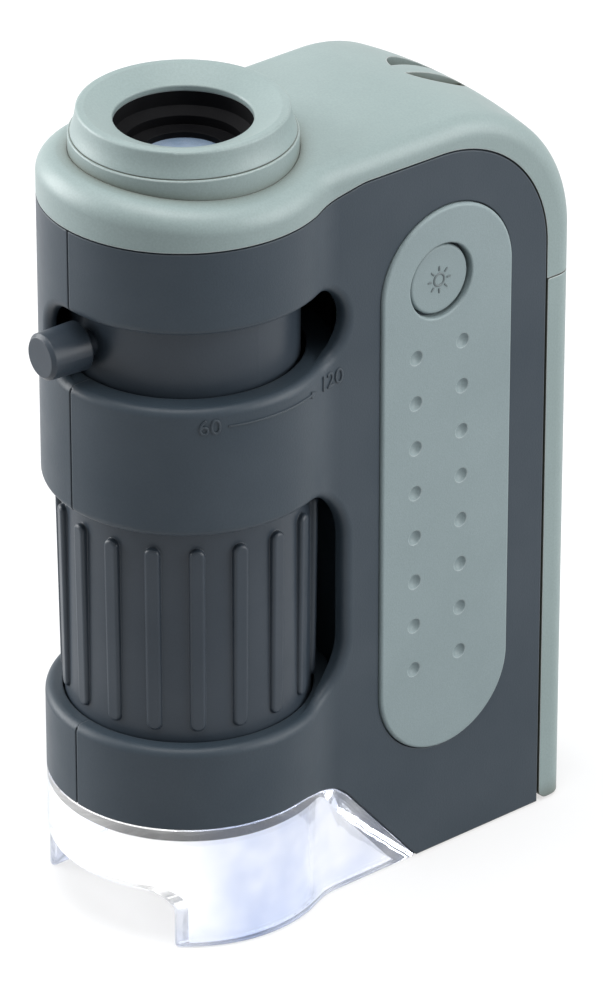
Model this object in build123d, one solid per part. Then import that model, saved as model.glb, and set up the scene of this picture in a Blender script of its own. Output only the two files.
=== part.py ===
"""Pocket zoom microscope for children: lighted, one AA cell, standing on a clear base.

Millimetres, +Z up. The optical axis is X = Y = 0 while the pieces are made. They are
moved along Y at the end, so that the origin is under the middle of the whole object.
Angles round the axis are from the front (-Y) towards +X.
"""

from build123d import *
from math import acos, cos, hypot, radians, sin, sqrt, tan
import os

os.makedirs("parts", exist_ok=True)

# Overall body
grip_half = 13.6          # half width of the flat-sided grip
blend_r = 8.0             # hollow blend between barrel and grip
shell_back = 40.6         # back edge of the two dark shells
back = 45.6               # back face of door and top cover, at its middle
crown_sag = 1.2           # how far top and back fall away at the grip's sides
edge_r = 2.4              # rounding of the light shell's outer edges
barrel_wall = 1.25
grip_wall = 1.8
floor = 1.8
bottom_wall = 2.0
seam_gap = 0.15           # visible seam between door and top cover
sill_r = 1.0              # rounding round the windows
ledge, ledge_fit = 1.5, 0.25  # height of the ledges inside the lower sills, and their fit
line_wide, line_deep = 0.2, 0.5  # shadow line round the dark shells' outline
seam_groove = 0.24        # width of the groove at the parting line
front_cut = 20.0          # beyond the front of everything

# Heights
shell_bottom = 15.2
slope_back = 22.06        # where the slanting underside meets the ground
slope = 1.177             # its rise over run
knee_y, knee_bottom_y = 4.6, 10.9
shell_top = 86.75
shell_top_back = 87.8
shell_arc = 15.8
top = 92.0
top_arc = 19.0
cover_wall = 1.8
cover_lip = 1.1
cover_lip_depth = 2.2
door_top = 67.8

# Windows in the shells
window_low, window_high, window_back, window_r = 25.5, 52.2, 11.5, 7.0
slot_z, slot_half, slot_back, slot_left = 72.3, 4.4, 11.6, 4.9

# Tubes and the two turning sleeves
slide_fit = 0.08
tube_in, tube_wall, tube_low, tube_high = 9.0, 1.2, 20.0, 83.0
tube_out = tube_in + tube_wall
pin_r, pin_in, pin_bite, pin_play = 1.0, 7.5, 2.05, 0.15
pin_out = tube_out + pin_bite
groove_r = pin_out + pin_play
drum_low, drum_high, drum_wall = 23.9, 53.9, 1.4
drum_base_r = groove_r + drum_wall
drum_crest_low_r, drum_crest_high_r, rib_edge_r = drum_base_r + 0.45, drum_base_r + 0.75, 0.4
drum_fit = 0.2            # between the drum's ribs and the barrel's wall
body_r = drum_crest_high_r + drum_fit + barrel_wall  # barrel radius, 16
rib_count, rib_low, rib_high, rib_width, rib_phase = 18, 26.85, 49.8, 1.76, 15.6
ring_low, ring_high, ring_wall = 63.5, 80.5, 2.32
ring_r = tube_out + slide_fit + ring_wall
end_play = 0.3
web = 1.8                 # thickness of the webs that carry the tube
web_back = 16.6
focus_lead, focus_swing = 6.0, 150.0
focus_pin_z = 38.9
zoom_lead, zoom_back, zoom_on = 14.516, 2.5, 116.0
zoom_pin_z = 75.5
lever_r, lever_reach, lever_angle, lever_drop, lever_gap = 2.7, 19.0, -4.0, 0.5, 1.2
lever_z = slot_z - lever_drop
carrier_low, carrier_high = 67.0, 79.0
nose_r, nose_low, nose_hole = 5.8, 13.4, 6.2
holder_low, holder_high = 22.5, 45.0

# Clear base
base_wall = 2.0
arch_half, arch_top, arch_r = 10.8, 7.05, 2.8
arch_edge_r, foot_edge_r = 0.5, 0.4
peg_r, peg_x, peg_long = 1.2, 10.2, 1.7

# Grip panels and push button
panel_y, panel_r, panel_low, panel_high = 25.8, 9.35, 23.0, 72.2
panel_floor, panel_face, panel_gap = 12.7, 14.0, 0.15
dimple_r, dimple_deep, dimple_rows, dimple_step = 0.9, 0.5, 8, 5.63
dimple_top, dimple_columns = 64.45, (21.2, 27.9)
panel_pegs = (30.0, 56.0)
button_y, button_z, button_r, button_face, button_hole_r = 24.8, 72.8, 4.1, 13.55, 4.45
button_flange_r, button_travel = 4.9, 0.8

# Battery, tray and contacts
cell_r, cell_y, cell_low, cell_long, nub_r, nub_high = 7.1, 31.8, 8.0, 50.2, 2.75, 1.0
cell_fit, tray_wall, tray_back, tray_end = 0.2, 1.3, 33.0, 1.8
tray_r = cell_r + cell_fit
tray_front = cell_y - tray_r - tray_wall
strip = 0.4               # thickness of the contact strips
spring_r, wire_r, spring_pitch = 3.6, 0.3, 1.05

# Circuit board
board_x, board_thick, board_front, board_back = 5.0, 1.2, 17.2, 35.5
board_low, board_high = 66.4, 80.5
posts = ((18.8, 79.0), (33.4, 69.0))
post_r, board_screw_r = 2.0, 0.9

# Lamp in the slanting wall
lamp_y, lamp_r, lamp_flange_r = 14.5, 1.5, 1.9
lead_r, lead_x, lead_y = 0.35, 1.27, 22.3

# Screws that join the shells
screws = ((19.0, 20.0), (19.0, 58.0), (32.0, 63.3))
screw_r, head_r, boss_r, screw_end = 1.25, 2.0, 2.8, 8.0

# Battery door and its hinge
pivot_in, pivot_z, hinge_r, hinge_fit = 1.9, 1.5, 0.5, 0.06
pivot_y = back - pivot_in
arm_in, arm_out, arm_r, arm_gap = 7.05, 9.35, 1.0, 0.15
door_gap = 0.15           # between the door and the shells
door_low = 0.3
tab_half, tab_high = 4.0, 69.8

# Eyepiece
collar_r, collar_top, collar_sink = 12.5, 93.6, 1.1
sleeve_r, sleeve_top = 8.7, 94.6
rim_r, rim_top = 11.57, 96.6
eye_r, eye_edge = 7.63, 95.27
seat_z, seat_r, eye_bore = 90.4, 4.7, 7.2

# Lenses: edge thickness, crown height and seat
eye_edge_thick, eye_sag = 1.4, 1.6
object_r, object_edge, object_sag, object_seat, object_seat_r = 4.9, 0.8, 0.7, 17.0, 4.3
zoom_r, zoom_edge, zoom_sag, zoom_seat, zoom_seat_r, zoom_ring_in = 7.4, 1.2, 1.2, 71.0, 6.4, 6.6

# Lanyard anchor in the sloping top
dish_y, dish_r, dish_deep, bar_half, bar_thick = 34.5, 4.6, 3.6, 1.2, 1.7


def rounded(points):
    """A flat face from corners (u, v, radius)."""
    ends = []
    for i, (u, v, radius) in enumerate(points):
        before, after = points[i - 1], points[(i + 1) % len(points)]
        corner = Vector(u, v)
        a = (Vector(before[0], before[1]) - corner).normalized()
        b = (Vector(after[0], after[1]) - corner).normalized()
        if radius == 0:
            ends.append((corner, None, corner))
            continue
        half = acos(a.dot(b)) / 2
        reach = radius / tan(half)
        middle = corner + (a + b).normalized() * (radius / sin(half) - radius)
        ends.append((corner + a * reach, middle, corner + b * reach))
    edges = []
    for i, (start, middle, end) in enumerate(ends):
        if middle is not None:
            edges.append(ThreePointArc(start, middle, end))
        following = ends[(i + 1) % len(ends)][0]
        if (following - end).length > 1e-5:
            edges.append(Line(end, following))
    return make_face(edges)


def along_x(points, x0, x1):
    """An outline in Y and Z, made solid from x0 to x1."""
    return extrude(Plane.YZ.offset(x0) * rounded(points), x1 - x0)


def along_y(points, y0, y1):
    """An outline in X and Z, made solid from y0 to y1."""
    return extrude(Plane.XZ.offset(-y1) * rounded(points), y1 - y0)


def turned(points):
    """A profile of radius and height, turned round the optical axis."""
    return revolve(Plane.XZ * rounded(points), Axis.Z)


def rod(r, z0, z1, x=0.0, y=0.0):
    return Pos(x, y, (z0 + z1) / 2) * Cylinder(r, z1 - z0)


def rod_x(r, x0, x1, y, z):
    return Pos((x0 + x1) / 2, y, z) * Rot(0, 90, 0) * Cylinder(r, x1 - x0)


def spoke(r, r0, r1, angle, z):
    """A round rod that points away from the axis."""
    return Rot(0, 0, angle) * Pos(0, -(r0 + r1) / 2, z) * Rot(90, 0, 0) * Cylinder(r, r1 - r0)


def block(x0, x1, y0, y1, z0, z1):
    middle = Pos((x0 + x1) / 2, (y0 + y1) / 2, (z0 + z1) / 2)
    return middle * Box(x1 - x0, y1 - y0, z1 - z0)


def together(pieces):
    """Several pieces as one shape."""
    pieces = list(pieces)
    shape = pieces[0]
    for piece in pieces[1:]:
        shape += piece
    return shape


def plan(inset, round_r, z0, z1):
    """The keyhole plan of the body, barrel and grip in one, made solid."""
    grip = Pos(0, back / 2) * Rectangle(2 * (grip_half - inset), back)
    shape = Circle(body_r - round_r) + grip
    corners = [v for v in shape.vertices() if 1 < v.Y < back - 1]
    return Pos(0, 0, z0) * extrude(fillet(corners, blend_r), z1 - z0)


def slope_y(z, inward=0.0):
    """Where the slanting underside, moved in by a wall, is at height z."""
    return slope_back - (z - inward * hypot(1, slope)) / slope


def dark_outline():
    return [
        (-front_cut, shell_bottom, 0), (knee_y, shell_bottom, 8.0),
        (knee_bottom_y, slope * (slope_back - knee_bottom_y), 6.0),
        (slope_back, 0, 0), (shell_back, 0, 0),
        (shell_back, shell_top_back, shell_arc), (14.0, shell_top_back + 0.3, 8.0),
        (7.0, shell_top + 0.1, 8.0), (-front_cut, shell_top, 0),
    ]


def above_crown(inset):
    """What lies outside the crowned skin that runs over the top and down the back."""
    far = 20.0
    fall = crown_sag * (far / grip_half) ** 2 + inset
    skin = make_face([
        ThreePointArc((-far, -fall), (0, -inset), (far, -fall)),
        Line((far, -fall), (far, 16)), Line((far, 16), (-far, 16)), Line((-far, 16), (-far, -fall)),
    ])
    bend = top_arc * sqrt(0.5)
    centre_y, centre_z = back - top_arc, top - top_arc
    over = Line((0, -front_cut, top), (0, centre_y, top))
    round_back = ThreePointArc(
        (0, centre_y, top), (0, centre_y + bend, centre_z + bend), (0, back, centre_z)
    )
    down = Line((0, back, centre_z), (0, back, -2))
    start = Plane(origin=(0, -front_cut, top), x_dir=(1, 0, 0), z_dir=(0, -1, 0))
    return sweep(start * skin, Wire([over, round_back, down]))


def hull():
    """Everything outside, with the edges of top and back rounded."""
    body = plan(0, 0, -1, 100) & block(-20, 20, -20, back, -1, 100)
    body -= above_crown(0)
    rim = top - crown_sag * (body_r / grip_half) ** 2 - 0.1
    edges = [
        e for e in body.edges()
        if (e.bounding_box().min.Z > rim and hypot(e.center().X, e.center().Y) > 5)
        or (e.bounding_box().min.Y > back - top_arc - 0.1 and e.bounding_box().min.Z > -0.9)
        or (e.bounding_box().min.Y > back - crown_sag - 0.1 and e.bounding_box().size.Z > 20)
    ]
    edges = [e for e in edges if abs(e.center().X) > 1 or e.center().Y < 0]
    return fillet(edges, edge_r)


def grip_racetrack(extra):
    r = panel_r + extra
    low, high = panel_low - r, panel_high + r
    return [
        (panel_y - r, low, r), (panel_y + r, low, r),
        (panel_y + r, high, r), (panel_y - r, high, r),
    ]


def lamp_place():
    height = slope * (slope_back - lamp_y)
    length = hypot(1, slope)
    return Plane(origin=(0, lamp_y, height), x_dir=(1, 0, 0), z_dir=(0, slope / length, 1 / length))


def inner_space():
    """The hollow of the shells, open at the top and at the back."""
    outline = [
        (-front_cut, shell_bottom + floor, 0),
        (slope_y(shell_bottom + floor, bottom_wall), shell_bottom + floor, 5.0),
        (slope_y(bottom_wall, bottom_wall), bottom_wall, 0),
        (back + 2, bottom_wall, 0), (back + 2, 100, 0), (-front_cut, 100, 0),
    ]
    space = plan(grip_wall, barrel_wall, 0, 100)
    space += block(grip_wall - grip_half, grip_half - grip_wall, shell_back - 5, back + 2, 0, 100)
    return space & along_x(outline, -20, 20)


def webs(space):
    """Plates that carry the fixed tube, the wall behind the drum, and the ledges in the sills."""
    levels = (
        drum_low - end_play - web, drum_high + end_play,
        ring_low - end_play - web, ring_high + end_play,
    )
    inside = space & block(-20, 20, -20, web_back, 0, 100)
    made = [inside & block(-20, 20, -20, 20, z, z + web) for z in levels]
    made.append(space & block(-20, 20, web_back - 1.2, web_back, levels[0], levels[1] + web))
    for sill, within in ((window_low, drum_base_r + ledge_fit), (slot_z - slot_half, ring_r + 0.6)):
        made.append(inside & (rod(body_r, sill - ledge, sill) - rod(within, 0, 100)))
    for y, z in screws:
        made.append(rod_x(boss_r, grip_wall - grip_half, grip_half - grip_wall, y, z))
    return together(made) - rod(tube_out, 0, 100)


def slot_outline_right():
    return [
        (-front_cut, slot_z - slot_half, 0), (slot_back, slot_z - slot_half, slot_half),
        (slot_back, slot_z + slot_half, slot_half), (-front_cut, slot_z + slot_half, 0),
    ]


def slot_outline_left():
    return [
        (-slot_left, slot_z - slot_half, slot_half), (1, slot_z - slot_half, 0),
        (1, slot_z + slot_half, 0), (-slot_left, slot_z + slot_half, slot_half),
    ]


def hinge_arm(side):
    arm = block(arm_in, arm_out, shell_back - 2, pivot_y, pivot_z - arm_r, pivot_z + arm_r)
    arm += rod_x(arm_r, arm_in, arm_out, pivot_y, pivot_z)
    arm -= rod_x(hinge_r, arm_in - 1, arm_out + 1, pivot_y, pivot_z)
    return arm if side > 0 else mirror(arm, Plane.YZ)


def shell_block():
    """The solid outside of both dark halves, with the windows cut and their edges rounded."""
    body = plan(0, 0, -1, 100) & along_x(dark_outline(), -20, 20)
    window = [
        (-front_cut, window_low, 0), (window_back, window_low, window_r),
        (window_back, window_high, window_r), (-front_cut, window_high, 0),
    ]
    body -= along_x(window, -20, 20)
    body -= along_x(slot_outline_right(), 0, 20)
    body -= along_y(slot_outline_left(), -front_cut, -5)
    for low, high in ((window_low, window_high), (slot_z - slot_half, slot_z + slot_half)):
        body = fillet([e for e in body.edges() if on_outside(e, low, high)], sill_r)
    outline = rounded(dark_outline())
    line = extrude(Plane.YZ.offset(-20) * (outline - offset(outline, -line_wide)), 40)
    return body - (line - plan(line_deep, line_deep, -2, 101))


def on_outside(edge, low, high):
    """Whether an edge lies in the body's outer skin and between two heights."""
    box, middle = edge.bounding_box(), edge @ 0.5
    if box.min.Z < low - 0.01 or box.max.Z > high + 0.01 or box.size.X > 2 * body_r - 0.1:
        return box.min.Z > low - 0.01 and box.max.Z < high + 0.01 and box.size.Y > 1
    far = hypot(middle.X, middle.Y) > body_r - 0.01 or abs(middle.X) > grip_half - 0.01
    return far and (box.size.Y > 0.01 or box.size.Z > 0.01)


def whole_shell():
    """Both dark halves in one, before the parting cut."""
    space = inner_space()
    shell = shell_block() - space
    shell += webs(space)
    shell -= rod(nose_hole, 10, 20)
    shell -= lamp_place() * Pos(0, 0, 1) * Cylinder(lamp_r, 6)
    for side in (-1, 1):
        shell -= rod(peg_r, 10, shell_bottom + peg_long, side * peg_x)
        x0, x1 = sorted((side * panel_floor, side * 20))
        shell -= along_x(grip_racetrack(panel_gap), x0, x1)
        for z in panel_pegs:
            shell -= rod_x(peg_r, *sorted((side * 11, side * 14)), panel_y, z)
        shell += hinge_arm(side)
    half = seam_groove / 2
    shell -= block(-half, half, -body_r - 1, -body_r + 0.25, 10, 100)
    return shell


def right_shell(shell):
    half = shell & block(0, 20, -20, 50, -5, 100)
    for y, z in screws:
        half -= rod_x(screw_r, -1, screw_end, y, z)
    for y, z in posts:
        half += rod_x(post_r, board_x + board_thick, grip_half - grip_wall, y, z)
        half -= rod_x(board_screw_r, board_x, 10.0, y, z)
    return half - rod_x(button_r + slide_fit, 11, 14, button_y, button_z)


def left_shell(shell):
    half = shell & block(-20, 0, -20, 50, -5, 100)
    for y, z in screws:
        half -= rod_x(screw_r, -15, 1, y, z)
        half -= rod_x(head_r, -15, -11.2, y, z)
    return half


def shell_screws():
    made = [
        rod_x(screw_r, -11.2, screw_end, y, z)
        + rod_x(head_r, -panel_floor, -11.2, y, z)
        - block(-panel_floor - 1, -panel_floor + 0.6, y - 1.4, y + 1.4, z - 0.2, z + 0.2)
        for y, z in screws
    ]
    return together(made)


def top_cover(outside):
    cover = (outside - along_x(dark_outline(), -20, 20)) & block(-20, 20, -20, 50, door_top, 100)
    cover -= block(-20, 20, -20, shell_back - 0.01, 0, shell_top - 20)
    hollow = plan(grip_wall + cover_lip, barrel_wall + cover_lip, 0, 100)
    side = grip_half - grip_wall
    hollow += block(-side, side, shell_back - 12, back, door_top - 1, 78)
    cover -= hollow - above_crown(cover_wall)
    lip = plan(grip_wall + 0.05, barrel_wall + 0.05, 80, 90)
    lip -= plan(grip_wall + cover_lip, barrel_wall + cover_lip, 79, 91)
    lowered = Pos(0, 0, -cover_lip_depth) * along_x(dark_outline(), -20, 20)
    lip &= along_x(dark_outline(), -20, 20) - lowered
    cover += lip & block(-20, 20, -20, 27, 80, 90)
    cover -= rod(sleeve_r, 80, 100)
    cover -= rod(collar_r + 0.05, top - collar_sink, 100)
    slot = block(-tab_half - 0.15, tab_half + 0.15, 41, back + 1, door_top - 1, tab_high + 0.15)
    cover -= slot
    return lanyard_anchor(cover, outside)


def lanyard_anchor(cover, outside):
    """A round dish with a bar across it, sunk in the sloping top."""
    centre_y, centre_z = back - top_arc, top - top_arc
    tilt = (dish_y - centre_y) / top_arc
    normal = (0, tilt, sqrt(1 - tilt * tilt))
    place = Plane(origin=(0, dish_y, centre_z + top_arc * normal[2]), x_dir=(1, 0, 0), z_dir=normal)
    cup = place * Pos(0, 0, -(dish_deep + 1.4) / 2 + 2) * Cylinder(dish_r + 1.2, dish_deep + 5.4)
    hole = place * Pos(0, 0, 2 - dish_deep / 2) * Cylinder(dish_r, dish_deep + 4)
    bar = place * Pos(0, 0, 2.5 - bar_thick / 2) * Box(2 * bar_half, 20, bar_thick + 5)
    return (cover + (cup & outside & block(-9, 9, 24, back - 1, 80, 95))) - (hole - bar)


def battery_door(outside):
    front = shell_back + door_gap
    outline = [
        (front, door_low, 1.2), (back, door_low, 1.3),
        (back, door_top - seam_gap, 0), (front, door_top - seam_gap, 0),
    ]
    door = outside & along_x(outline, -20, 20)
    side = grip_half - 2.0
    door -= block(-side, side, 40, back - 2.0, -1, 100)
    bar = block(-side, side, back - 2.5, back - 1.9, door_low + 0.5, 3.1)
    door += bar
    door += outside & block(-tab_half, tab_half, back - 2.0, back, door_top - 1, tab_high)
    for sign in (-1, 1):
        x0, x1 = sorted((sign * (arm_in - arm_gap), sign * (arm_out + arm_gap)))
        door -= block(x0, x1, 40, back + 1, -1, pivot_z + arm_r + 0.4)
        bore = sorted((sign * 5.5, sign * 11.0))
        door -= rod_x(hinge_r + hinge_fit, *bore, pivot_y, pivot_z)
    return door


def door_hinge_pins():
    return together(
        rod_x(hinge_r, side * 8.25 - 2.35, side * 8.25 + 2.35, pivot_y, pivot_z) for side in (-1, 1)
    )


def clear_base():
    knee_z = slope * (slope_back - knee_bottom_y)
    outline = [
        (-front_cut, 0, 0), (slope_back, 0, 0), (knee_bottom_y, knee_z, 6.0),
        (knee_y, shell_bottom, 8.0), (-front_cut, shell_bottom, 0),
    ]
    base = plan(0, 0, 0, 20) & along_x(outline, -20, 20) & block(-20, 20, -20, 21.6, 0, 20)
    ceiling = shell_bottom - base_wall
    hollow = [
        (-front_cut, -1, 0), (slope_y(-1, -base_wall), -1, 0),
        (slope_y(ceiling, -base_wall), ceiling, 4.0), (-front_cut, ceiling, 0),
    ]
    base -= plan(base_wall, base_wall, -1, 20) & along_x(hollow, -20, 20)
    arch = [
        (-arch_half, -1, 0), (arch_half, -1, 0),
        (arch_half, arch_top, arch_r), (-arch_half, arch_top, arch_r),
    ]
    base -= along_y(arch, -front_cut, -3)
    mouth = [
        e for e in base.edges()
        if abs(hypot((e @ 0.5).X, (e @ 0.5).Y) - body_r) < 0.02
        and (e @ 0.5).Y < 0 and 0.01 < e.bounding_box().max.Z < arch_top + 0.01
    ]
    base = fillet(mouth, arch_edge_r)
    foot = [
        e for e in base.edges()
        if e.bounding_box().max.Z < 0.01 and e.length > 3
        and hypot((e @ 0.5).X, (e @ 0.5).Y) > body_r - 0.3
    ]
    base = fillet(foot, foot_edge_r)
    base -= rod(nose_hole, 10, 20)
    base -= lamp_place() * Pos(0, 0, -2) * Cylinder(lamp_r + 0.1, 6)
    for side in (-1, 1):
        base += rod(peg_r, shell_bottom - 0.5, shell_bottom + peg_long, side * peg_x)
    return base


def grip_panel(side):
    panel = along_x(grip_racetrack(0), panel_floor, panel_face)
    panel = fillet(panel.faces().sort_by(Axis.X)[-1].edges(), 0.35)
    ball = (dimple_r ** 2 + dimple_deep ** 2) / (2 * dimple_deep)
    for y in dimple_columns:
        for row in range(dimple_rows):
            z = dimple_top - row * dimple_step
            panel -= Pos(panel_face + ball - dimple_deep, y, z) * Sphere(ball)
    for z in panel_pegs:
        panel += rod_x(peg_r, grip_half - grip_wall, panel_floor + 0.1, panel_y, z)
    if side < 0:
        return mirror(panel, Plane.YZ)
    panel -= rod_x(button_hole_r, 11, 15, button_y, button_z)
    mouth = [
        e for e in panel.faces().sort_by(Axis.X)[-1].edges()
        if abs((e @ 0.5).Y - button_y) < 5 and abs((e @ 0.5).Z - button_z) < 5
    ]
    return fillet(mouth, 0.2)


def light_button():
    button = rod_x(button_r, 11.5, button_face, button_y, button_z)
    button = fillet(button.faces().sort_by(Axis.X)[-1].edges(), 0.35)
    button += rod_x(button_flange_r, 10.3, 11.5, button_y, button_z)
    return button + rod_x(1.5, 9.9, 10.4, button_y, button_z)


def guide_tube():
    tube = rod(tube_out, tube_low, tube_high) - rod(tube_in, 0, 100)
    half = pin_r + slide_fit
    throw = focus_lead * focus_swing / 360
    down, up = zoom_lead * zoom_on / 360, zoom_lead * zoom_back / 360
    for low, high in (
        (focus_pin_z - throw, focus_pin_z + throw), (zoom_pin_z - down, zoom_pin_z + up)
    ):
        low, high = low - 0.2, high + 0.2
        tube -= block(-half, half, tube_in - 1, tube_out + 1, low, high)
        for z in (low, high):
            tube -= spoke(half, tube_in - 1, tube_out + 1, 180, z)
    return tube


def groove(lead, first, last, pin_z):
    """The helical track of a follower pin that stands at the back of the axis."""
    half, inner = pin_r + slide_fit, tube_out - 0.3
    path = Helix(lead, lead * (last - first) / 360, (inner + groove_r) / 2)
    start = Plane(origin=path @ 0, x_dir=(1, 0, 0), z_dir=path % 0)
    track = sweep(start * Rectangle(groove_r - inner, 2 * half), path, is_frenet=True)
    low = pin_z + lead * (first - 90) / 360
    high = pin_z + lead * (last - 90) / 360
    made = Pos(0, 0, low) * Rot(0, 0, first) * track
    made += spoke(half, inner, groove_r, first + 90, low)
    return made + spoke(half, inner, groove_r, last + 90, high)


def drum_rib():
    """One round-ended rib at the front, standing prouder at its top."""
    half = (rib_high - rib_low) / 2
    shape = SlotOverall(2 * half, rib_width, rotation=90)
    rib = Pos(0, -drum_base_r + 0.6, half + rib_low) * extrude(Plane.XZ * shape, 3)
    rib &= Pos(0, 0, half + rib_low) * Cone(drum_crest_low_r, drum_crest_high_r, 2 * half)
    crest = [e for e in rib.edges() if hypot((e @ 0.5).X, (e @ 0.5).Y) > drum_base_r + 0.2]
    return fillet(crest, rib_edge_r)


def focus_drum():
    drum = rod(drum_base_r, drum_low, drum_high)
    drum = chamfer(drum.edges(), 0.3)
    rib = drum_rib()
    for i in range(rib_count):
        drum += Rot(0, 0, rib_phase + 360 * i / rib_count) * rib
    drum -= rod(tube_out + slide_fit, 0, 100)
    return drum - groove(focus_lead, 90 - focus_swing, 90 + focus_swing, focus_pin_z)


def zoom_ring():
    ring = rod(ring_r, ring_low, ring_high) - rod(tube_out + slide_fit, 0, 100)
    ring -= groove(zoom_lead, 90 - zoom_on, 90 + zoom_back, zoom_pin_z)
    return ring - spoke(1.5, ring_r - 1.2, ring_r + 1, lever_angle, lever_z)


def zoom_lever():
    place = Rot(0, 0, lever_angle) * Pos(0, 0, lever_z) * Rot(90, 0, 0)
    root = ring_r + lever_gap
    stub = Pos(0, 0, (ring_r + root - 0.7) / 2) * Cylinder(1.5, root - ring_r + 1.7)
    knob = Cone(lever_r + 0.1, lever_r - 0.05, lever_reach - root)
    knob = chamfer(knob.faces().sort_by(Axis.Z)[-1].edges(), 0.4)
    knob = chamfer(knob.faces().sort_by(Axis.Z)[0].edges(), 0.2)
    return place * (Pos(0, 0, (lever_reach + root) / 2) * knob + stub)


def follower(z):
    return spoke(pin_r, pin_in, pin_out, 180, z)


def objective_barrel():
    r = tube_in - slide_fit
    barrel = turned([
        (object_r, nose_low, 0), (nose_r, nose_low, 0.3), (nose_r, holder_low, 0),
        (r, holder_low, 0), (r, holder_high, 0), (7.2, holder_high, 0),
        (7.2, holder_low + 1.5, 0), (object_seat_r, holder_low + 1.5, 0),
        (object_seat_r, object_seat, 0), (object_r, object_seat, 0),
    ])
    return barrel - follower(focus_pin_z)


def zoom_carriage():
    r = tube_in - slide_fit
    carriage = turned([
        (zoom_seat_r, carrier_low, 0), (r, carrier_low, 0), (r, carrier_high, 0),
        (zoom_r, carrier_high, 0), (zoom_r, zoom_seat, 0), (zoom_seat_r, zoom_seat, 0),
    ])
    return carriage - follower(zoom_pin_z)


def crown_height(r, sag, u):
    """How far a crowned face stands above its rim, at radius u."""
    big = (r * r + sag * sag) / (2 * sag)
    return sag - big + sqrt(big * big - u * u)


def lens(r, flat, edge, sag):
    """A lens with a flat face below and a crowned one above."""
    rim, half = flat + edge, r * 0.6
    edges = [
        Line((0, flat), (r, flat)), Line((r, flat), (r, rim)),
        ThreePointArc((r, rim), (half, rim + crown_height(r, sag, half)), (0, rim + sag)),
        Line((0, rim + sag), (0, flat)),
    ]
    return revolve(Plane.XZ * make_face(edges), Axis.Z)


def retainer(inner, outer, low, high):
    return rod(outer, low, high) - rod(inner, low - 1, high + 1)


def eyepiece_barrel():
    return turned([
        (eye_bore, tube_high, 0), (tube_out, tube_high, 0), (tube_out, tube_high + 1.5, 0),
        (sleeve_r, tube_high + 1.5, 0), (sleeve_r, sleeve_top, 0), (eye_r, sleeve_top, 0),
        (eye_r, 92.9, 0), (6.5, 92.2, 0), (6.5, 91.1, 0), (seat_r, 91.1, 0), (seat_r, seat_z, 0),
        (eye_bore, seat_z, 0),
    ])


def eyecup_ring():
    return turned([
        (sleeve_r, top - collar_sink, 0), (collar_r, top - collar_sink, 0),
        (collar_r, collar_top, 0.12),
        (sleeve_r, collar_top, 0),
    ])


def eyecup():
    return turned([
        (sleeve_r, collar_top, 0), (collar_r - 0.2, collar_top, 0.12),
        (rim_r + 0.25, 95.0, 6.0), (rim_r, rim_top, 0.3), (rim_r - 0.9, rim_top, 0.3),
        (eye_r, eye_edge, 0.2), (eye_r, sleeve_top, 0), (sleeve_r, sleeve_top, 0),
    ])


def battery_cell():
    top_z = cell_low + cell_long - nub_high
    cell = fillet(rod(cell_r, cell_low, top_z, 0, cell_y).edges(), 0.5)
    return cell + rod(nub_r, top_z - 0.1, top_z + nub_high, 0, cell_y)


def battery_tray():
    side = grip_half - grip_wall - 0.05
    low, high = bottom_wall, cell_low + cell_long + strip + 1.6
    cell_floor, cell_roof = low + tray_end, cell_low + cell_long + strip
    tray = block(-side, side, tray_front, tray_back, low, high)
    tray -= rod(tray_r, cell_floor, cell_roof, 0, cell_y)
    tray -= block(-tray_r, tray_r, cell_y, tray_back + 1, cell_floor, cell_roof)
    tray -= block(2.95, 5.05, tray_front - 1, 28, cell_floor, cell_floor + strip + 0.05)
    tray -= block(4.55, 5.05, 26.45, 29.05, cell_roof - 0.5, high + 1)
    for sign in (-1, 1):
        for z in (8.0, 24.5, 41.0):
            x0, x1 = sorted((sign * (tray_r + 1.3), sign * (side + 1)))
            tray -= block(x0, x1, tray_front + 1.2, tray_back + 1, z, z + 14.0)
    return tray


def negative_contact():
    low = bottom_wall + tray_end
    plate = block(-4, 5, 28, 35.5, low, low + strip)
    plate += block(3, 5, tray_front - strip, 28.5, low, low + strip)
    return plate + block(3, 5, tray_front - strip, tray_front, low, board_low + 1.6)


def positive_contact():
    low = cell_low + cell_long
    plate = block(-4, 5, 26.5, 35.5, low, low + strip)
    return plate + block(board_x - strip, board_x, 26.5, 29.0, low, board_low + 1.6)


def battery_spring():
    low, high = bottom_wall + tray_end + strip, cell_low
    height = high - low - 2 * wire_r
    path = Helix(spring_pitch, height, spring_r)
    start = Plane(origin=path @ 0, z_dir=path % 0)
    coil = sweep(start * Circle(wire_r), path, is_frenet=True)
    made = Pos(0, cell_y, low + wire_r) * coil
    return made & rod(spring_r + 2, low, high, 0, cell_y)


def circuit_board():
    board = block(board_x, board_x + board_thick, board_front, board_back, board_low, board_high)
    for y, z in posts:
        board -= rod_x(board_screw_r, board_x - 1, board_x + 3, y, z)
    return board


def board_screws():
    return together(
        rod_x(board_screw_r, board_x - 0.1, 9.8, y, z) + rod_x(1.8, board_x - 1.1, board_x, y, z)
        for y, z in posts
    )


def tact_switch():
    x = board_x + board_thick
    body = block(x, x + 2.0, button_y - 3, button_y + 3, button_z - 3, button_z + 3)
    return body + rod_x(1.7, x + 1.9, x + 2.8, button_y, button_z)


def board_chips():
    return together([
        block(board_x - 1.0, board_x, 24.0, 29.0, 72.0, 77.0),
        block(board_x - 0.7, board_x, 31.0, 32.6, 71.0, 74.2),
        block(board_x - 0.7, board_x, 31.0, 32.6, 75.4, 78.6),
    ])


def led_lamp():
    lamp = Pos(0, 0, 0.75) * Cylinder(lamp_r, 2.5) + Pos(0, 0, 2.5) * Cylinder(lamp_flange_r, 1.0)
    return lamp_place() * (lamp + Pos(0, 0, -0.5) * Sphere(lamp_r))


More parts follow.
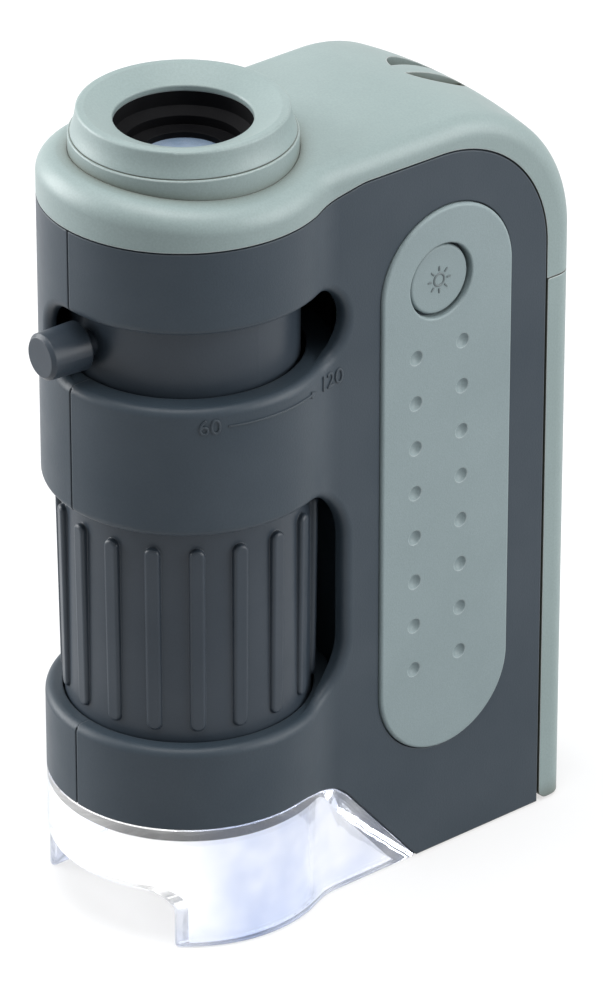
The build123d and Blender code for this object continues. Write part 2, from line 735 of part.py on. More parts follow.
def led_leads():
    """Two stiff leads from the lamp up to the board."""
    start = lamp_place().from_local_coords(Vector(0, 0, 3.0))
    made = []
    for sign, z in ((1, board_low + 1.0), (-1, board_low + 2.6)):
        points = [
            Vector(sign * lead_x, start.Y, start.Z), Vector(sign * lead_x, lead_y, 15.0),
            Vector(sign * lead_x, lead_y, z), Vector(board_x - 0.01, lead_y, z),
        ]
        lead = None
        for a, b in zip(points, points[1:]):
            line = Plane(origin=a, z_dir=b - a)
            piece = line * Pos(0, 0, (b - a).length / 2) * Cylinder(lead_r, (b - a).length)
            lead = piece if lead is None else lead + piece
        for joint in points[1:3]:
            lead += Pos(*joint) * Sphere(lead_r)
        made.append(lead)
    return together(made)


def build():
    outside, shell = hull(), whole_shell()
    eye_flat = seat_z - crown_height(eye_bore, eye_sag, seat_r) - eye_edge_thick
    object_flat = object_seat - crown_height(object_r, object_sag, object_seat_r) - object_edge
    zoom_rest = zoom_seat + zoom_edge + crown_height(zoom_r, zoom_sag, zoom_ring_in)
    return {
        "right_shell": right_shell(shell),
        "left_shell": left_shell(shell),
        "shell_screws": shell_screws(),
        "top_cover": top_cover(outside),
        "battery_door": battery_door(outside),
        "door_hinge_pins": door_hinge_pins(),
        "clear_base": clear_base(),
        "right_grip_panel": grip_panel(1),
        "left_grip_panel": grip_panel(-1),
        "light_button": light_button(),
        "guide_tube": guide_tube(),
        "focus_drum": focus_drum(),
        "zoom_ring": zoom_ring(),
        "zoom_lever": zoom_lever(),
        "focus_follower_pin": follower(focus_pin_z),
        "zoom_follower_pin": follower(zoom_pin_z),
        "objective_barrel": objective_barrel(),
        "objective_lens": lens(object_r, object_flat, object_edge, object_sag),
        "objective_ring": retainer(3.9, object_r, object_flat - 1.3, object_flat),
        "zoom_carriage": zoom_carriage(),
        "zoom_lens": lens(zoom_r, zoom_seat, zoom_edge, zoom_sag),
        "zoom_lens_ring": retainer(zoom_ring_in, zoom_r, zoom_rest, zoom_rest + 1.0),
        "eyepiece_barrel": eyepiece_barrel(),
        "eye_lens": lens(eye_bore, eye_flat, eye_edge_thick, eye_sag),
        "eye_lens_ring": retainer(6.0, eye_bore, eye_flat - 1.5, eye_flat),
        "eyecup_ring": eyecup_ring(),
        "eyecup": eyecup(),
        "battery_cell": battery_cell(),
        "battery_tray": battery_tray(),
        "battery_spring": battery_spring(),
        "negative_contact": negative_contact(),
        "positive_contact": positive_contact(),
        "circuit_board": circuit_board(),
        "board_screws": board_screws(),
        "board_chips": board_chips(),
        "tact_switch": tact_switch(),
        "led_lamp": led_lamp(),
        "led_leads": led_leads(),
    }


def middle_y():
    tip = lever_r - 0.05 - 0.4
    front = lever_reach * cos(radians(lever_angle)) + tip * sin(radians(-lever_angle))
    return (back - front) / 2


nodes = build()
shift = Pos(0, -middle_y(), 0)
for name, shape in nodes.items():
    placed = shift * shape
    export_step(placed, f"parts/{name}.step")
print("moved along Y by", -middle_y())
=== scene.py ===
# %% [markdown]
# A pocket zoom microscope, dressed for its picture. Its hard parts come in as a fixed
# frame: every object already has its place in its mesh and is never moved. This lesson
# gives those parts their finishes, adds the small moulded marks that only matter to the
# eye, and sets a camera, a floor and soft light.

# %% Load the frame
from math import atan2, cos, degrees, pi, radians, sin

import bpy
from mathutils import Matrix, Vector


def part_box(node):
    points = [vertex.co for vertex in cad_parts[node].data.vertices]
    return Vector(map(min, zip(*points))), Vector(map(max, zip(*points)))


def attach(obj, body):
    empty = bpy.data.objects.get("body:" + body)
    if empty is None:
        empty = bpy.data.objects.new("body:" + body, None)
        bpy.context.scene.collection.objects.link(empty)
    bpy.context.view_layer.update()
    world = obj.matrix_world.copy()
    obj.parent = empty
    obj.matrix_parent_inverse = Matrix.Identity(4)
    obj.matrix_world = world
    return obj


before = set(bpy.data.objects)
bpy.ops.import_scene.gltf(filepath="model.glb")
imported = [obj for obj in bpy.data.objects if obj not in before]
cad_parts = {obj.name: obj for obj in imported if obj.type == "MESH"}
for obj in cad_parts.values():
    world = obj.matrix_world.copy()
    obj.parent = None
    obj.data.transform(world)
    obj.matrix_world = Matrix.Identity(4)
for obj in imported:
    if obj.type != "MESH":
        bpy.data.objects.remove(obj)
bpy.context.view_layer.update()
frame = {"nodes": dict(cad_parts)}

nodes, scene = frame["nodes"], bpy.context.scene

# %% [markdown]
# Sizes are easiest to read in millimetres, and Blender works in metres. On this object
# everything turns about one line, the optical axis, so one helper takes an angle round
# that axis, from the front towards the right, and a height. The axis isn't guessed: it
# runs through the middle of the eye lens. A third helper turns two angles into the way to
# look from, for the camera and the lamps.

# %% Three ways to name a place
MM = 0.001
eye_low, eye_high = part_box("eye_lens")
axis_y = (eye_low.y + eye_high.y) / 2


def spot(x, y, z):
    """A point in metres from millimetres, with y counted from the optical axis."""
    return Vector((x * MM, y * MM + axis_y, z * MM))


def round_axis(angle, radius, z):
    """A point in metres from an angle in degrees, a radius and a height in millimetres."""
    turn = radians(angle)
    return spot(radius * sin(turn), -radius * cos(turn), z)


def way_out(azimuth, elevation):
    """The direction away from the object, azimuth degrees from its front and elevation up."""
    a, e = radians(azimuth), radians(elevation)
    return Vector((sin(a) * cos(e), -cos(a) * cos(e), sin(e)))


print("optical axis at y =", round(axis_y / MM, 3), "mm")

# %% [markdown]
# The camera comes first, because every later choice is judged through it. It stands a
# long way back with a long lens, as is usual for small goods, which keeps the barrel's
# sides nearly parallel. Its place is worked out from a direction and a distance, which is
# easier to reason about than three loose numbers.

# %% Camera
DISTANCE = 0.8131
LENS, SENSOR = 259.5, 36.0
camera_aim = spot(0, 16.62, 41.99)
outward = way_out(azimuth=50.25, elevation=28.83)
lens_data = bpy.data.cameras.new("studio_camera")
lens_data.lens, lens_data.sensor_width = LENS, SENSOR
lens_data.clip_start, lens_data.clip_end = 0.05, 20.0
camera = bpy.data.objects.new("studio_camera", lens_data)
scene.collection.objects.link(camera)
camera.location = camera_aim + outward * DISTANCE
camera.rotation_euler = (-outward).to_track_quat("-Z", "Y").to_euler()
scene.camera = camera
scene.view_settings.view_transform = "Standard"
print("camera at", [round(v, 3) for v in camera.location])

# %% [markdown]
# Materials and the world are built from nodes, and most of a node's story is what goes
# into its sockets. So one helper adds a node and fills its sockets from a table, where a
# value is a number, a colour, or the output of an earlier node. It is used all through
# this lesson, and keeps each material readable from top to bottom.


# %% Adding a node
def feed(tree, node, socket, value):
    """Fills a socket with a number or a colour, or joins it to an output, given as (node, name)."""
    if isinstance(value, tuple) and len(value) == 2:
        tree.links.new(value[0].outputs[value[1]], node.inputs[socket])
    else:
        node.inputs[socket].default_value = value


def add_node(tree, kind, sockets, **options):
    """A new node of a kind, with its options set and its sockets filled."""
    node = tree.nodes.new("ShaderNode" + kind)
    for option, value in options.items():
        setattr(node, option, value)
    for socket, value in sockets.items():
        feed(tree, node, socket, value)
    return node


def joined(tree, operation, first, second):
    """The output of a Math node that works on two outputs."""
    return add_node(tree, "Math", {0: first, 1: second}, operation=operation), "Value"


def in_plain_view(tree):
    """An output that is 1 for what the camera, a reflection or a view through glass sees."""
    path = add_node(tree, "LightPath", {})
    seen = joined(tree, "MAXIMUM", (path, "Is Camera Ray"), (path, "Is Glossy Ray"))
    return joined(tree, "MAXIMUM", seen, (path, "Is Transmission Ray"))


print("nodes can now be added, filled and joined")

# %% [markdown]
# The studio is a pale floor, a white world and three soft lamps. The world is split with
# a Light Path node: what the camera, a reflection or a view through glass sees is plain
# white, and what lights the object is dimmer.

# %% World
WORLD_LIGHT = 0.38
world = bpy.data.worlds.new("studio_world")
scene.world = world
world.use_nodes = True
sky = world.node_tree
sky.nodes.clear()
lighting = add_node(sky, "Background", {"Color": (0.96, 0.98, 1.0, 1), "Strength": WORLD_LIGHT})
backdrop = add_node(sky, "Background", {"Color": (1, 1, 1, 1), "Strength": 1.0})
split_sky = add_node(sky, "MixShader", {
    0: in_plain_view(sky), 1: (lighting, 0), 2: (backdrop, 0)})
add_node(sky, "OutputWorld", {"Surface": (split_sky, 0)})
print("world light", WORLD_LIGHT)

# %% [markdown]
# Large area lamps are used in place of a sun, because their broad shape gives satin
# plastic a soft highlight. One stands nearly overhead, so that the cover's top is
# brighter than its sides. The other two stand low, far to the left and the right of the
# camera, and draw a soft edge down each side of the barrel.

# %% Lamps
LAMP_DISTANCE = 0.9
lamp_aim = spot(0, 12, 50)


def soft_lamp(name, azimuth, elevation, size, power):
    """A square area lamp that looks at the middle of the object."""
    data = bpy.data.lights.new(name, "AREA")
    data.shape, data.size, data.energy = "SQUARE", size, power
    lamp = bpy.data.objects.new(name, data)
    scene.collection.objects.link(lamp)
    away = way_out(azimuth, elevation)
    lamp.location = lamp_aim + away * LAMP_DISTANCE
    lamp.rotation_euler = (-away).to_track_quat("-Z", "Y").to_euler()
    print(name, power, "W at", azimuth, elevation)


soft_lamp("top_lamp", azimuth=30, elevation=82, size=0.6, power=7.4)
soft_lamp("left_lamp", azimuth=-58, elevation=18, size=0.7, power=12.5)
soft_lamp("right_lamp", azimuth=128, elevation=20, size=0.7, power=7.8)

# %% [markdown]
# The floor is a wide plane, so that the object has something to stand on from every
# side. Its own colour takes the shadows. A share of plain white is added for what the
# camera and reflections see, so that the floor melts into the white world. It lies a
# hair under the foot, so that the two faces don't fight for the same place.

# %% Floor
FLOOR_SIZE, FLOOR_DROP, WHITE_SHARE = 8, 0.05, 0.62
bpy.ops.object.select_all(action="DESELECT")
bpy.ops.mesh.primitive_plane_add(size=FLOOR_SIZE, location=(0, 0, -FLOOR_DROP * MM))
floor = bpy.context.object
floor.name = floor.data.name = "studio_floor"
floor_paint = bpy.data.materials.new("studio_floor")
floor_paint.use_nodes = True
paint = floor_paint.node_tree
paint.nodes.clear()
matt = add_node(paint, "BsdfDiffuse", {"Color": (0.84, 0.86, 0.89, 1)})
white = add_node(paint, "Emission", {
    "Color": (1, 0.985, 0.97, 1), "Strength": in_plain_view(paint)})
surface = add_node(paint, "MixShader", {0: WHITE_SHARE, 1: (matt, 0), 2: (white, 0)})
add_node(paint, "OutputMaterial", {"Surface": (surface, 0)})
floor.data.materials.append(floor_paint)
print("floor", floor.dimensions[:])

# %% [markdown]
# Colours are easiest to choose as screen values from 0 to 255, but Blender reckons in
# linear light. The first helper turns one into the other, and the second steps part of
# the way from one colour to another, which is how worn and darker shades are made.


# %% Colours
def rgba(red, green, blue):
    """A linear colour from one written as 0 to 255 on a screen."""
    def straight(v):
        v /= 255
        return v / 12.92 if v <= 0.04045 else ((v + 0.055) / 1.055) ** 2.4
    return (straight(red), straight(green), straight(blue), 1.0)


def mixed(colour, share, other):
    """A colour part of the way to another."""
    return tuple(a + (b - a) * share for a, b in zip(colour[:3], other[:3])) + (1.0,)


BLACK, WHITE = (0, 0, 0), (1, 1, 1)
print("middle grey on a screen is", round(rgba(128, 128, 128)[0], 3), "in linear light")

# %% [markdown]
# No real surface is one flat colour, so every finish starts from noise. It is read on
# Object coordinates, so that the pattern stays put when a part moves. A second helper
# blends two colours, and a third starts a new material with those coordinates at hand.


# %% Noise, blends and a blank finish
def noise_map(tree, place, scale, detail, low=0.0, high=1.0):
    """The output of noise whose values are spread between low and high."""
    noise = add_node(tree, "TexNoise", {"Scale": scale, "Detail": detail, "Vector": (place, "Object")})
    spread = add_node(tree, "MapRange", {
        "From Min": 0.3, "From Max": 0.7, "To Min": low, "To Max": high, "Value": (noise, "Fac")})
    return spread, "Result"


def blended(tree, share, first, second, way="MIX"):
    """The output of a colour blend: a share of 0 shows the first and 1 the second."""
    blend = add_node(tree, "Mix", {"Factor": share, "A": first, "B": second},
                     data_type="RGBA", blend_type=way)
    return blend, "Result"


def blank_finish(name):
    """A new material, its node tree, its Principled shader and its coordinates."""
    finish = bpy.data.materials.new(name)
    finish.use_nodes = True
    tree = finish.node_tree
    return finish, tree, tree.nodes["Principled BSDF"], add_node(tree, "TexCoord", {})


print("noise, blends and blank finishes are ready")

# %% [markdown]
# Moulded plastic is the main finish here, in four colours. The pigment drifts a little,
# the mould leaves a fine grain, handling polishes some patches, and every edge is slightly
# rounded and painted paler, partly rubbed wear and partly a painted highlight. Hollows
# such as the dish for the wrist cord get painted shade, a darker olive tone where little
# open sky reaches. A Bevel node rounds the edges for the light alone, which costs no faces.
# Where its normal turns away from the true one there is an edge, and that is where the
# wear and the painted highlight go.


# %% Moulded plastic
def worn_and_highlit_edges(tree, rounded, wear_and_highlight):
    """An output that rises to wear_and_highlight on the edges that a Bevel node rounds: partly rubbed wear,
    partly a painted highlight.
    """
    true = add_node(tree, "NewGeometry", {})
    turn = add_node(tree, "VectorMath", {0: (rounded, "Normal"), 1: (true, "Normal")},
                    operation="DOT_PRODUCT")
    worn_and_lit = add_node(tree, "MapRange", {
        "From Min": 0.995, "From Max": 0.86, "To Max": wear_and_highlight, "Value": (turn, "Value")})
    return worn_and_lit, "Result"


def painted_hollow_shade(tree, hollow_shade):
    """Painted shade: an output that rises to hollow_shade where little open sky reaches the surface."""
    open_sky = add_node(tree, "AmbientOcclusion", {"Distance": 4 * MM}, samples=8)
    dust_and_hollow_shade = add_node(tree, "MapRange", {
        "From Min": 0.35, "From Max": 0.85, "To Min": hollow_shade, "To Max": 0.0,
        "Value": (open_sky, "AO")})
    return dust_and_hollow_shade, "Result"


def moulded(name, colour, rough, grain=0.35, grain_deep=0.2, specular=0.4,
            edge=0.15, wear_and_highlight=0.5, pale=0.1, hollow_shade=0.0):
    """Moulded plastic: grain is the mark size in mm, edge the rounding in mm, wear_and_highlight and pale
    the paler edges (rubbed wear and painted highlight), and hollow_shade the painted shade in deep places."""
    finish, tree, skin, place = blank_finish(name)
    drift = noise_map(tree, place, scale=90, detail=3)
    pigment = blended(tree, drift, mixed(colour, 0.05, BLACK), mixed(colour, 0.008, WHITE))
    speck = noise_map(tree, place, scale=1300 / grain, detail=2)
    shade = blended(tree, 0.05, pigment, speck, "OVERLAY")
    rounded = add_node(tree, "Bevel", {"Radius": edge * MM}, samples=6)
    # Edges painted paler towards white: partly rubbed wear, partly a painted highlight.
    shade = blended(tree, worn_and_highlit_edges(tree, rounded, wear_and_highlight), shade, mixed(colour, pale, WHITE))
    # Painted shade: hollows and joins between parts darken towards an olive grey.
    if hollow_shade:
        shade = blended(tree, painted_hollow_shade(tree, hollow_shade), shade, rgba(66, 62, 42))
    feed(tree, skin, "Base Color", shade)
    handled = noise_map(tree, place, scale=220, detail=4, low=rough - 0.03, high=rough + 0.04)
    feed(tree, skin, "Roughness", handled)
    relief = add_node(tree, "Bump", {
        "Strength": grain_deep, "Distance": 0.03 * MM, "Height": speck,
        "Normal": (rounded, "Normal")})
    feed(tree, skin, "Normal", (relief, "Normal"))
    feed(tree, skin, "Specular IOR Level", specular)
    print("finish", name)
    return finish


# %% [markdown]
# The shells, drum, ring and lever are all moulded in the same slate colour. The drum and
# ring come from a smoother mould than the shells, so they are a separate, glossier finish.
# The cover, the door and the eyecup are a pale grey-green, and the grip panels and the
# light button a deeper one with a softer, rubbery feel.

# %% Plastic colours
slate = moulded("slate_shell", rgba(43, 54, 63), 0.44, grain=0.30, specular=0.3,
                edge=0.25, wear_and_highlight=0.35, pale=0.06)
slate_turned = moulded("slate_turned", rgba(42, 51, 60), 0.38, grain=0.25, grain_deep=0.12,
                       specular=0.32, edge=0.2, wear_and_highlight=0.35, pale=0.06)
# The sage finish has strongly paled edges, partly wear and partly a painted highlight, and painted shade in
# its hollows.
sage = moulded("sage_cover", rgba(129, 144, 143), 0.42, grain=0.30, grain_deep=0.15,
               edge=0.25, pale=0.6, hollow_shade=0.85)
soft_grip = moulded("soft_grip", rgba(125, 139, 141), 0.5, grain=0.22, grain_deep=0.25,
                    specular=0.35, edge=0.2, pale=0.4)
mark_grey = moulded("mark_grey", rgba(96, 107, 109), 0.5, grain=0.2, edge=0.05)
print("four plastics and a darker one for the button's sign")

# %% [markdown]
# What sits inside is plainer: matt black round the light's path, so that nothing shines
# back into the eye, grey for the battery tray, a printed sleeve on the cell, green for the
# circuit board and near-black for its chips. They are the same plastic with other numbers.

# %% Inner plastics
black = moulded("black_plastic", rgba(6, 6, 8), 0.6, grain=0.25, specular=0.05, edge=0.1, wear_and_highlight=0.1)
inner_grey = moulded("inner_grey", rgba(120, 122, 125), 0.5)
jacket = moulded("cell_sleeve", rgba(70, 74, 80), 0.28, grain=0.5, grain_deep=0.05)
laminate = moulded("board_green", rgba(34, 104, 62), 0.4, grain=0.4, grain_deep=0.3)
chip_black = moulded("chip_black", rgba(30, 30, 33), 0.5, grain=0.2, grain_deep=0.3)
print("five finishes for what is inside")

# %% [markdown]
# The foot is clear plastic with the lamp shining into it, and it glows almost white. A
# fully clear foot would only show the floor, so it has a painted glow of its own, which
# stands for the light that the lamp gives the real moulding. At the sides and along the
# bottom edge the glow dims and turns a cold blue, a painted shade. It also fades where
# the wall turns away from the eye, where the colour greys as a painted darker outline,
# and in the solid plate at the top, which shows the dark shell.

# %% Clear plastic
SIDES = 10.5, 15.8
BOTTOM = 4.0, 0.5
PLATE = 12.9, 13.5
PLATE_FRONT = 1.0, 7.0


def smooth_step(tree, value, between, top=1.0, unit=MM):
    """An output that rises smoothly from 0 to top as the value goes between two marks."""
    start, end = between
    step = add_node(tree, "MapRange", {
        "From Min": start * unit, "From Max": end * unit, "To Max": top, "Value": value},
        interpolation_type="SMOOTHSTEP")
    return step, "Result"


def clear_foot(name, glow):
    """Clear plastic with lamp light held in it."""
    finish, tree, skin, place = blank_finish(name)
    split = add_node(tree, "SeparateXYZ", {"Vector": (place, "Object")})
    across = add_node(tree, "Math", {0: (split, "X")}, operation="ABSOLUTE"), "Value"
    # Painted shade: the glow dims and turns a cold blue at the sides and along the bottom edge.
    blue_shade = joined(tree, "MAXIMUM", smooth_step(tree, across, SIDES),
                  smooth_step(tree, (split, "Z"), BOTTOM, top=0.6))
    clouds = noise_map(tree, place, scale=150, detail=2, low=0.35)
    blue_shade = joined(tree, "MULTIPLY", blue_shade, clouds)
    facing = add_node(tree, "LayerWeight", {"Blend": 0.5}), "Facing"
    # Painted shade: where the wall turns away from the eye the glow fades and the colour greys, a darker
    # outline.
    turned = smooth_step(tree, facing, (0.62, 0.98), unit=1)
    streak = joined(tree, "MULTIPLY", smooth_step(tree, (split, "Z"), PLATE),
                    smooth_step(tree, (split, "X"), PLATE_FRONT))
    unlit = joined(tree, "MAXIMUM", joined(tree, "MAXIMUM", blue_shade, turned), streak)
    held = blended(tree, blue_shade, rgba(255, 255, 255), rgba(198, 213, 248))
    feed(tree, skin, "Base Color", blended(tree, turned, held, rgba(150, 168, 190)))
    feed(tree, skin, "Emission Color", held)
    lit = add_node(tree, "MapRange", {"To Min": glow, "To Max": glow * 0.1, "Value": unlit})
    feed(tree, skin, "Emission Strength", (lit, "Result"))
    ripple = noise_map(tree, place, scale=160, detail=2)
    relief = add_node(tree, "Bump", {"Strength": 0.2, "Distance": 0.3 * MM, "Height": ripple})
    feed(tree, skin, "Normal", (relief, "Normal"))
    haze = noise_map(tree, place, scale=300, detail=3, low=0.03, high=0.09)
    feed(tree, skin, "Roughness", haze)
    feed(tree, skin, "Transmission Weight", 0.94)
    feed(tree, skin, "IOR", 1.49)
    print("finish", name)
    return finish


clear = clear_foot("clear_foot", glow=0.18)
lamp_resin = clear_foot("lamp_resin", glow=1.0)

# %% [markdown]
# A lens is glass with a thin coat that takes the glare off and leaves a cool reflection.
# A trace of dust keeps it from looking like a hole. The lens under the eye gets a faint
# light of its own, because on the real object lamp light comes up through it.


# %% Lens glass
def glass(name, tint, depth, glow=0.0):
    """Coated lens glass: clear, with a coloured coat, and lamp light that comes up through it."""
    finish, tree, skin, place = blank_finish(name)
    bloom = noise_map(tree, place, scale=260, detail=2)
    cast = blended(tree, bloom, tint, mixed(tint, 0.25, WHITE))
    feed(tree, skin, "Base Color", cast)
    feed(tree, skin, "Emission Color", cast)
    feed(tree, skin, "Emission Strength", glow)
    dust_and_hollow_shade = noise_map(tree, place, scale=900, detail=3, low=0.02, high=0.08)
    feed(tree, skin, "Roughness", dust_and_hollow_shade)
    relief = add_node(tree, "Bump", {"Strength": 0.02, "Distance": 0.02 * MM, "Height": dust_and_hollow_shade})
    feed(tree, skin, "Normal", (relief, "Normal"))
    feed(tree, skin, "Transmission Weight", depth)
    feed(tree, skin, "IOR", 1.52)
    feed(tree, skin, "Coat Weight", 0.6)
    feed(tree, skin, "Coat Roughness", 0.03)
    feed(tree, skin, "Coat Tint", (0.80, 0.88, 1.0, 1))
    print("finish", name)
    return finish


lens_glass = glass("lens_glass", rgba(150, 178, 226), depth=0.85)
eye_glass = glass("eye_glass", rgba(148, 166, 182), depth=0.5, glow=0.22)

# %% [markdown]
# The screws and pins are zinc plated, and the battery's spring and contacts are nickel.
# On plated metal the colour hardly changes, and what the eye reads is how evenly it
# shines, so very fine noise drives both the roughness and a shallow relief.


# %% Plated metal
def metal(name, colour, rough):
    """Plated metal with fine scratches."""
    finish, tree, skin, place = blank_finish(name)
    feed(tree, skin, "Metallic", 1.0)
    drift = noise_map(tree, place, scale=300, detail=4)
    cast = blended(tree, drift, mixed(colour, 0.12, BLACK), mixed(colour, 0.12, WHITE))
    feed(tree, skin, "Base Color", cast)
    scratch = noise_map(tree, place, scale=2600, detail=5, low=rough - 0.08, high=rough + 0.12)
    feed(tree, skin, "Roughness", scratch)
    relief = add_node(tree, "Bump", {"Strength": 0.1, "Distance": 0.02 * MM, "Height": scratch})
    feed(tree, skin, "Normal", (relief, "Normal"))
    print("finish", name)
    return finish


zinc = metal("zinc_plate", rgba(196, 196, 198), 0.32)
nickel = metal("nickel_strip", rgba(214, 208, 200), 0.24)

# %% [markdown]
# A finish goes onto a part through its material slots, and the mesh is left alone. A
# plain table of which part has which finish is easier to check than a long run of calls.

# %% Finishes onto parts
finishes = {
    "right_shell": slate, "left_shell": slate, "focus_drum": slate_turned,
    "zoom_ring": slate_turned, "zoom_lever": slate_turned,
    "top_cover": sage, "battery_door": sage, "eyecup": sage, "eyecup_ring": sage,
    "right_grip_panel": soft_grip, "left_grip_panel": soft_grip, "light_button": soft_grip,
    "guide_tube": black, "eyepiece_barrel": black, "objective_barrel": black,
    "zoom_carriage": black, "eye_lens_ring": black, "objective_ring": black,
    "zoom_lens_ring": black, "battery_tray": inner_grey, "clear_base": clear,
    "eye_lens": eye_glass, "zoom_lens": lens_glass, "objective_lens": lens_glass,
    "shell_screws": zinc, "board_screws": zinc, "door_hinge_pins": zinc,
    "focus_follower_pin": zinc, "zoom_follower_pin": zinc, "battery_spring": nickel,
    "negative_contact": nickel, "positive_contact": nickel, "led_leads": nickel,
    "battery_cell": jacket, "circuit_board": laminate, "board_chips": chip_black,
    "tact_switch": chip_black, "led_lamp": lamp_resin,
}
for part, finish in finishes.items():
    mesh = nodes[part].data
    mesh.materials.clear()
    mesh.materials.append(finish)
missing = sorted(set(nodes) - set(finishes))
print("finished", len(finishes), "parts, left plain:", missing)

# %% [markdown]
# The band under the zoom slot has a small raised scale: a number at each end and a thin
# arrow between them. It could be cut into the shell itself, but it is only for the eye,
# so it is a thin piece laid on the wall. The wall isn't flat. It runs round the barrel,
# turns out through a hollow bend and carries on along the flat grip. A helper follows
# that outline, so that anything modelled flat can be wrapped onto it.

# %% The outline of the wall
BARREL = -(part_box("right_shell")[0].y - axis_y) / MM
GRIP, BEND = 13.6, 8.0
bend_middle = (GRIP + BEND, ((BARREL + BEND) ** 2 - (GRIP + BEND) ** 2) ** 0.5)
bend_turn = atan2(bend_middle[1], bend_middle[0])
barrel_run = BARREL * (pi / 2 + bend_turn)


def side_wall(run, lift, z):
    """The place that is run mm along the wall from the front, lift mm out of it, at height z."""
    if run < barrel_run:
        return round_axis(degrees(run / BARREL), BARREL + lift, z)
    left = bend_turn - (run - barrel_run) / BEND
    if left > 0:
        reach = BEND - lift
        return spot(bend_middle[0] - reach * cos(left), bend_middle[1] - reach * sin(left), z)
    return spot(GRIP + lift, bend_middle[1] - left * BEND, z)


print("barrel", round(BARREL, 3), "mm, bend begins", round(barrel_run, 2), "mm from the front")

# %% [markdown]
# Every mark ends in the same way. Its points are moved from the flat to their place, so
# that the object itself stays at the origin. Doubled points are merged and the faces
# turned outwards, and then it gets its finish and the body that it moves with.

# %% Settling a mark in its place
CREASE = 35


def only(piece):
    """Deselects everything else and makes a piece the active one."""
    bpy.ops.object.select_all(action="DESELECT")
    piece.select_set(True)
    bpy.context.view_layer.objects.active = piece


def settle(piece, name, place, body, finish):
    """Moves each point of a flat piece with place(x, y, z) in mm, then finishes the piece."""
    only(piece)
    bpy.ops.object.transform_apply(location=True, rotation=True, scale=True)
    for point in piece.data.vertices:
        point.co = place(*[v / MM for v in point.co])
    piece.name = piece.data.name = name
    bpy.ops.object.mode_set(mode="EDIT")
    bpy.ops.mesh.select_all(action="SELECT")
    bpy.ops.mesh.remove_doubles(threshold=0.001 * MM)
    bpy.ops.mesh.normals_make_consistent(inside=False)
    bpy.ops.object.mode_set(mode="OBJECT")
    bpy.ops.object.shade_smooth_by_angle(angle=radians(CREASE))
    piece.data.materials.clear()
    piece.data.materials.append(finish)
    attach(piece, body)
    print(name, len(piece.data.polygons), "faces")


print("faces that meet at under", CREASE, "degrees are shaded as one")

# %% [markdown]
# The numbers start as text, which Blender can thicken by itself. Text is a curve, so it
# is made a mesh before it is wrapped. It is thickened both ways, and half of it sinks
# into the wall, so that no gap shows under a curved line.

# %% Raised numbers
SCALE_Z, RAISED, NUMBER_SIZE = 65.7, 0.13, 2.6


def raised_number(name, words, angle):
    """A plain number on the wall, its middle at an angle round the axis."""
    bpy.ops.object.select_all(action="DESELECT")
    bpy.ops.object.text_add(location=(0, 0, 0))
    label = bpy.context.object
    label.data.body = words
    label.data.size = NUMBER_SIZE * MM
    label.data.align_x, label.data.align_y = "CENTER", "CENTER"
    label.data.extrude = RAISED * MM
    label.data.resolution_u = 6
    only(label)
    bpy.ops.object.convert(target="MESH")
    run = BARREL * radians(angle)
    settle(bpy.context.object, name, lambda x, y, z: side_wall(run + x, z, SCALE_Z + y),
           "housing", slate)


raised_number("scale_low", "60", angle=60.5)
raised_number("scale_high", "120", angle=124)

# %% [markdown]
# The arrow is a strip with many cuts along it, because a strip of one face can't bend
# round a barrel. Its points are drawn in towards the middle line, thin at the tail and
# wide at the head, and Solidify gives it the numbers' thickness.

# %% Arrow between the numbers
TAIL, HEAD = BARREL * radians(68), BARREL * radians(113)
LINE_HALF, LINE_SWELL = 0.07, 0.05
POINT_LONG, POINT_SLOPE = 1.0, 0.42
bpy.ops.object.select_all(action="DESELECT")
bpy.ops.mesh.primitive_grid_add(x_subdivisions=90, y_subdivisions=2, size=2 * MM, location=(0, 0, 0))
arrow = bpy.context.object
for point in arrow.data.vertices:
    along = (point.co.x / MM + 1) / 2
    from_tip = (1 - along) * (HEAD - TAIL)
    half = LINE_HALF + LINE_SWELL * along if from_tip > POINT_LONG else POINT_SLOPE * from_tip
    point.co.x = (TAIL + along * (HEAD - TAIL)) * MM
    point.co.y *= half
thick = arrow.modifiers.new("thickness", "SOLIDIFY")
thick.thickness, thick.offset = 2 * RAISED * MM, 0
only(arrow)
bpy.ops.object.modifier_apply(modifier="thickness")
settle(arrow, "scale_arrow", lambda x, y, z: side_wall(x, z, SCALE_Z + y),
       "housing", slate)

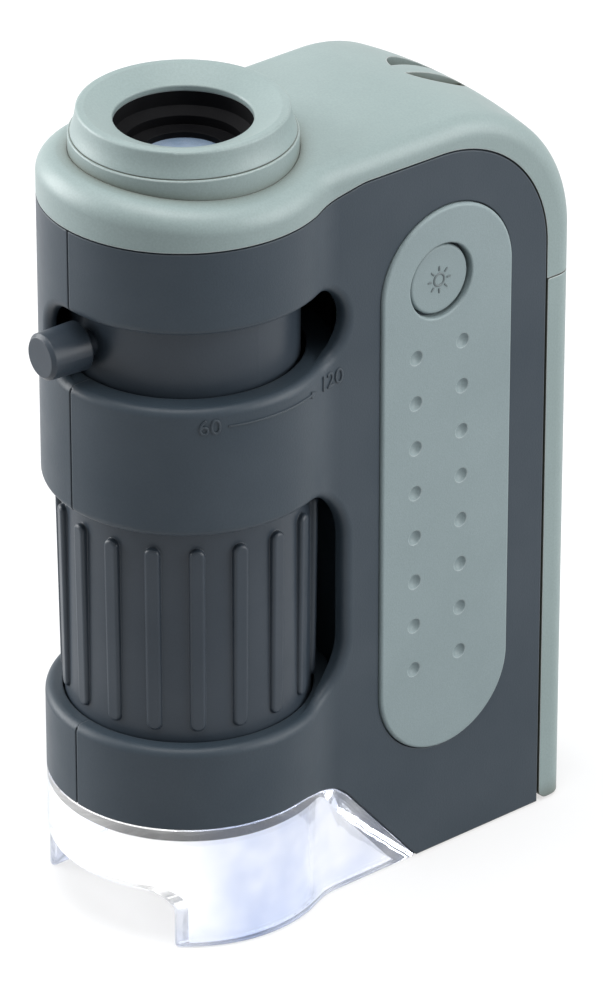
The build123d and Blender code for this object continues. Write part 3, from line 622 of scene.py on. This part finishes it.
# %% [markdown]
# The push button works the lamp, and its face has a small sign for light: a ring with
# eight rays. Each ray is a small bar, stretched and bevelled in edit mode, narrowed
# towards its tip and turned to its place.

# %% One ray of the light sign
RAYS, RAY_WIDE, RAY_STRETCH, RAY_BEVEL = 8, 0.26, 2.3, 0.06
RAY_PLACE, RAY_HALF, RAY_TAPER = 1.36, 0.3, 0.35


def sign_ray(turn):
    """One tapered bar, turned about the sign's middle."""
    bpy.ops.object.select_all(action="DESELECT")
    bpy.ops.mesh.primitive_cube_add(size=RAY_WIDE * MM, location=(0, 0, 0))
    ray = bpy.context.object
    bpy.ops.object.mode_set(mode="EDIT")
    bpy.ops.mesh.select_all(action="SELECT")
    bpy.ops.transform.resize(value=(RAY_STRETCH, 1, 1))
    bpy.ops.mesh.bevel(offset=RAY_BEVEL * MM, segments=2)
    bpy.ops.object.mode_set(mode="OBJECT")
    for point in ray.data.vertices:
        point.co.y *= 1.0 - RAY_TAPER * (point.co.x / MM + RAY_HALF) / (2 * RAY_HALF)
    ray.data.transform(Matrix.Rotation(turn, 4, "Z") @ Matrix.Translation((RAY_PLACE * MM, 0, 0)))
    return ray


rays = [sign_ray(2 * pi * count / RAYS) for count in range(RAYS)]
print(len(rays), "rays of", len(rays[0].data.polygons), "faces")

# %% [markdown]
# The ring is a torus, and the rays are joined to it. The whole sign is then stood up
# against the button's outer face, sunk by half its thickness, and it rides on the button,
# so that the two sink together when the button is pressed.

# %% Light sign on the button
RING, RING_THICK, SIGN_DEPTH = 0.72, 0.15, 0.8
button_low, button_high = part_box("light_button")
button_middle = (button_low + button_high) / 2
bpy.ops.object.select_all(action="DESELECT")
bpy.ops.mesh.primitive_torus_add(
    major_segments=40, minor_segments=10,
    major_radius=RING * MM, minor_radius=RING_THICK * MM, location=(0, 0, 0))
sign = bpy.context.object
only(sign)
for ray in rays:
    ray.select_set(True)
bpy.ops.object.join()


def on_button(x, y, z):
    """A place on the button's outer face, x to the back, y up and z out of it."""
    return Vector((button_high.x + z * SIGN_DEPTH * MM, button_middle.y + x * MM, button_middle.z + y * MM))


settle(sign, "light_sign", on_button, "light_button", mark_grey)
